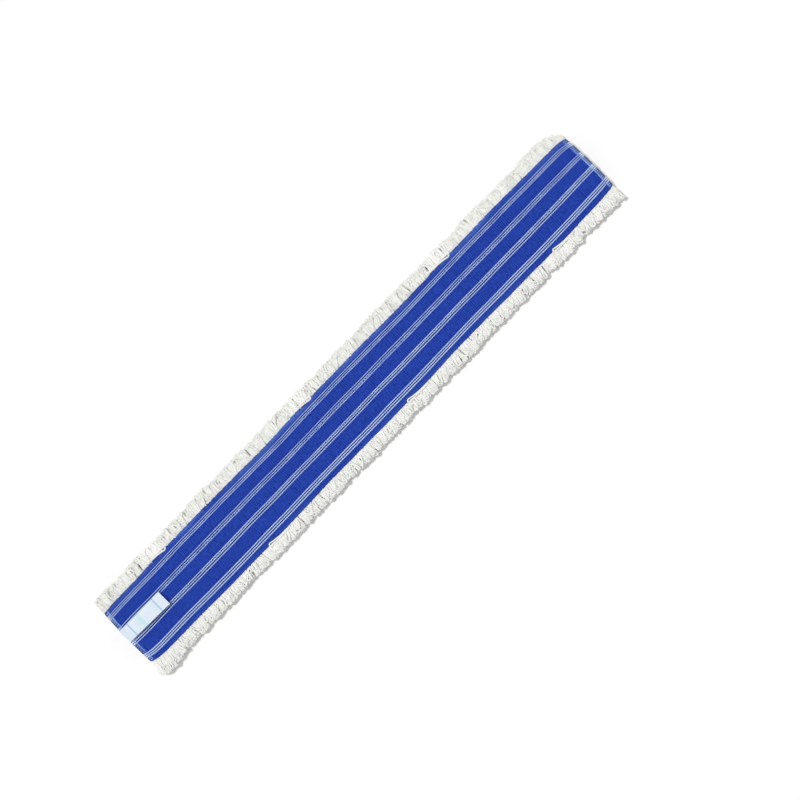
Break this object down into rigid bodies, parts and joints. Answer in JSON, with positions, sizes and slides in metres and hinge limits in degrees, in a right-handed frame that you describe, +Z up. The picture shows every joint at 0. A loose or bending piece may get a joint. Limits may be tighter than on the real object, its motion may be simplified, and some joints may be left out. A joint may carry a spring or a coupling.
{
  "type": "flat mop",
  "caption": "Long flat mop head: looped yarn sewn in bands under a backing cloth that a mop frame grips, with a fringe along both sides, overlocked ends and a sewn-on label that lifts.",
  "frame": {"origin": "centre of the mop's footprint on the floor, under the tips of the pile", "axes": "+X along the mop, away from the label; +Y across it; +Z up, out of the backing cloth"},
  "size_m": [0.7998, 0.1216, 0.02],
  "materials": {
    "backing_cloth": "blue brushed knit, matte",
    "stitch_thread": "white sewing thread",
    "pile_yarn": "cream cotton blend yarn, matte",
    "overlock_thread": "pale blue sewing thread",
    "label_tape": "white woven tape, slight sheen"
  },
  "bodies": {
    "mop_head": {"backing_cloth": "backing_cloth", "stitch_rear_outer_1": "stitch_thread", "stitch_rear_outer_2": "stitch_thread", "stitch_rear_outer_3": "stitch_thread", "stitch_rear_inner_1": "stitch_thread", "stitch_rear_inner_2": "stitch_thread", "stitch_rear_inner_3": "stitch_thread", "stitch_front_inner_1": "stitch_thread", "stitch_front_inner_2": "stitch_thread", "stitch_front_inner_3": "stitch_thread", "stitch_front_outer_1": "stitch_thread", "stitch_front_outer_2": "stitch_thread", "stitch_front_outer_3": "stitch_thread", "loops_rear_outer": "pile_yarn", "loops_rear_inner": "pile_yarn", "loops_front_inner": "pile_yarn", "loops_front_outer": "pile_yarn", "overlock_left": "overlock_thread", "overlock_right": "overlock_thread", "label_tab": "label_tape", "label_tack": "stitch_thread"},
    "label": {"label_flap": "label_tape"}
  },
  "joints": [
    {"name": "label_lift", "type": "hinge", "parent": "mop_head", "child": "label", "pos_m": [-0.3918, 0.0026, 0.0196], "axis": [0, -1, 0], "range_deg": [0, 170]}
  ]
}
